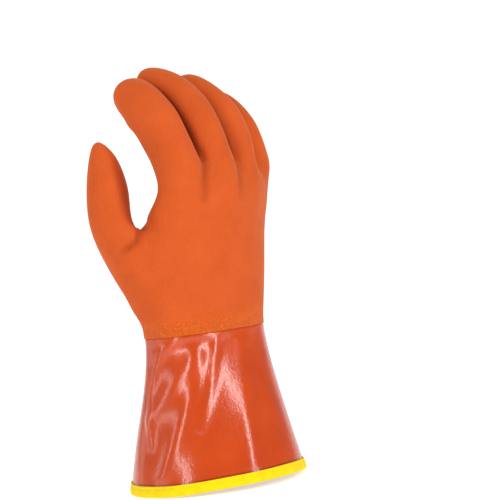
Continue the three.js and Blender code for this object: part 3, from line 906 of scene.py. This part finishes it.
def sew_hem(foot, out, climb):
    """Stitches along the outer and the inner seam line."""
    pinched = [side * MM for side, height in TAPE_SECTION if height == SEAM_HEIGHT]
    sides = (max(pinched) - SEAM_SINKS, min(pinched) + SEAM_SINKS)
    lines = [wave_hem(foot + out * side + climb * SEAM_HEIGHT * MM) for side in sides]
    edges = [(side * STATIONS + i, side * STATIONS + (i + 1) % STATIONS)
             for side in (0, 1) for i in range(STATIONS)]
    guide = bpy.data.meshes.new("seam_lines")
    guide.from_pydata(np.concatenate(lines).tolist(), edges, [])
    piece = add_piece("hem_stitches", guide)
    sewing = piece.modifiers.new("sewing", "NODES")
    sewing.node_group = lock_stitches
    wanted = {"Pitch": STITCH_PITCH, "Length": STITCH_LENGTH, "Thickness": THREAD_WIDTH,
              "Thread": thread}
    for socket in lock_stitches.interface.items_tree:
        if socket.name in wanted:
            sewing[socket.identifier] = wanted[socket.name]
    sewn = evaluated_mesh(piece)
    piece.modifiers.clear()
    piece.data = sewn
    bpy.data.meshes.remove(guide)
    sewn.name = "hem_stitches"
    print("the stitches have", len(sewn.polygons), "faces")
    return piece


stitches = sew_hem(foot, out, climb)

# %% [markdown]
# ## Putting the pieces in the frame
#
# Each piece gets its finish and rides on the glove's one body. The three main pieces stand for the
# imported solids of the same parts, which stay for collision but no longer show. The stitches are
# new, so they only ride along.

# %% Pieces in the frame
DRESSED = (
    # piece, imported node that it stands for, finish, material slot
    (hand, "hand_coat", rough, "rough_coat"),
    (cuff, "cuff", gloss, "smooth_coat"),
    (tape, "hem_tape", yellow, "hem_tape"),
    (stitches, None, thread, "hem_tape"),
)

for piece, node, material, slot in DRESSED:
    piece.data.materials.clear()
    piece.data.materials.append(material)
    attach(piece, "root")
    if node:
        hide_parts(node)
    print(piece.name, "rides on root and stands for", node or "no packed node")

# %% [markdown]
# ## The way the camera looks
#
# The camera stands level with the arm opening, off the thumb side of the back of the hand. Three
# directions, to its right, up and back to it, place the floor, the lights and the camera itself,
# so the studio turns as one if the angle is changed.

# %% Directions of the view
CAMERA_AZIMUTH = math.radians(-46)
right = Vector((math.cos(CAMERA_AZIMUTH), math.sin(CAMERA_AZIMUTH), 0))
back = Vector((math.sin(CAMERA_AZIMUTH), -math.cos(CAMERA_AZIMUTH), 0))
up = Vector((0, 0, 1))
print("towards the camera:", tuple(round(part, 2) for part in back))

# %% [markdown]
# ## Floor
#
# A pale paper sweep: a floor that curves up into a backdrop with no corner to see. Glossy film
# mirrors all that stands round it, so the upright part is only as wide as the picture needs,
# because a wider one lays a white haze on the sides of the cuff. The paper gives off a little
# light of its own, which keeps it even and white.

# %% Floor
SWEEP = (
    # run away from the camera, rise and half width, in metres
    (-4.5, 0.0, 4.0), (0.9, 0.0, 4.0), (1.25, 0.04, 1.1), (1.5, 0.16, 1.1), (1.68, 0.4, 1.1),
    (1.74, 0.8, 1.1), (1.74, 3.0, 1.1),
)
PAPER_WHITE = (0.8, 0.8, 0.8, 1)
PAPER_GLOW = 0.55


def sweep(towards, lowest):
    """A floor at the height of the lowest point that curves up at its far end."""
    ahead = Vector(towards).normalized()
    aside = Vector((ahead.y, -ahead.x, 0))
    shell = bmesh.new()
    rows = [[shell.verts.new(ahead * run + aside * side + Vector((0, 0, rise + lowest)))
             for side in (-half, half)] for run, rise, half in SWEEP]
    for low, high in zip(rows, rows[1:]):
        shell.faces.new((low[0], low[1], high[1], high[0]))
    mesh = bpy.data.meshes.new("sweep")
    shell.to_mesh(mesh)
    shell.free()
    mesh.shade_smooth()
    return add_piece("sweep", mesh)


lowest = coordinates(tape.data)[:, 2].min()
floor = sweep(-back, lowest)
paper = Finish("pale paper").done(Base_Color=PAPER_WHITE, Roughness=0.9, Specular_IOR_Level=0.1,
                                  Emission_Color=(1, 1, 1, 1), Emission_Strength=PAPER_GLOW)
floor.data.materials.append(paper)
print("the floor lies at", round(lowest / MM, 2), "mm")

# %% [markdown]
# ## Lights
#
# Soft boxes, as in a studio. A rough coat only needs enough light from both sides, but the film
# shows each box as a highlight of the box's own shape, so tall narrow boxes draw the long
# highlights down the folds. A wide one overhead fills the top of the hand, and a dim white world
# fills the shadows.

# %% Lights
SOFT_BOXES = (
    # name, metres to the camera's right, up and back to it, width and height in metres, watts
    ("far left box", (-0.95, 0.5, -0.5), 0.12, 0.9, 0.8),
    ("side box", (-1.1, 0.5, 0.15), 0.10, 0.9, 2.2),
    ("left box", (-0.62, 0.45, 0.99), 0.17, 0.9, 5.4),
    ("right box", (0.92, 0.4, 0.72), 0.20, 0.9, 8.4),
    ("overhead box", (0.1, 1.3, 0.3), 1.0, 0.7, 5.5),
)
AIMED_AT = Vector((0, 0, 0.15))  # the middle of the glove
WORLD_LIGHT = 0.25

for name, (rightwards, upwards, backwards), width, height, power in SOFT_BOXES:
    lamp = bpy.data.lights.new(name, "AREA")
    lamp.shape = "RECTANGLE"
    lamp.size, lamp.size_y, lamp.energy = width, height, power
    light = bpy.data.objects.new(name, lamp)
    light.location = right * rightwards + up * upwards + back * backwards
    light.rotation_mode = "QUATERNION"
    light.rotation_quaternion = (AIMED_AT - light.location).to_track_quat("-Z", "Y")
    bpy.context.scene.collection.objects.link(light)
    print(name, "gives", power, "watts")

world = bpy.data.worlds.new("studio")
world.use_nodes = True
sky = world.node_tree.nodes["Background"].inputs
sky["Color"].default_value = (1, 1, 1, 1)
sky["Strength"].default_value = WORLD_LIGHT
bpy.context.scene.world = world
bpy.context.scene.view_settings.view_transform = "Standard"

# %% [markdown]
# ## Camera
#
# The camera is level and tipped a little to one side. Its place comes from where the arm opening
# lies in a picture of 500 by 500 pixels, and its lens from how much of the glove one pixel covers,
# so both follow from two measures and not from trying.

# %% Camera
CAMERA_ROLL = math.radians(7)
CAMERA_DISTANCE = 1.1
CAMERA_SHIFT = (-0.0213, -0.1626)  # the arm opening's place in the picture, from its middle
METRES_PER_PIXEL = 0.71 * MM
PICTURE_PIXELS = 500
SENSOR_WIDTH = 36

across = right * math.cos(CAMERA_ROLL) - up * math.sin(CAMERA_ROLL)
upright = up * math.cos(CAMERA_ROLL) + right * math.sin(CAMERA_ROLL)
lens = bpy.data.cameras.new("camera")
lens.sensor_width = SENSOR_WIDTH
lens.lens = CAMERA_DISTANCE / METRES_PER_PIXEL / PICTURE_PIXELS * SENSOR_WIDTH
camera = bpy.data.objects.new("camera", lens)
place = back * CAMERA_DISTANCE - across * CAMERA_SHIFT[0] - upright * CAMERA_SHIFT[1]
turned = Matrix((across, upright, back)).transposed().to_4x4()
camera.matrix_world = Matrix.Translation(place) @ turned
bpy.context.scene.collection.objects.link(camera)
bpy.context.scene.camera = camera
print("the lens is", round(lens.lens, 1), "mm")
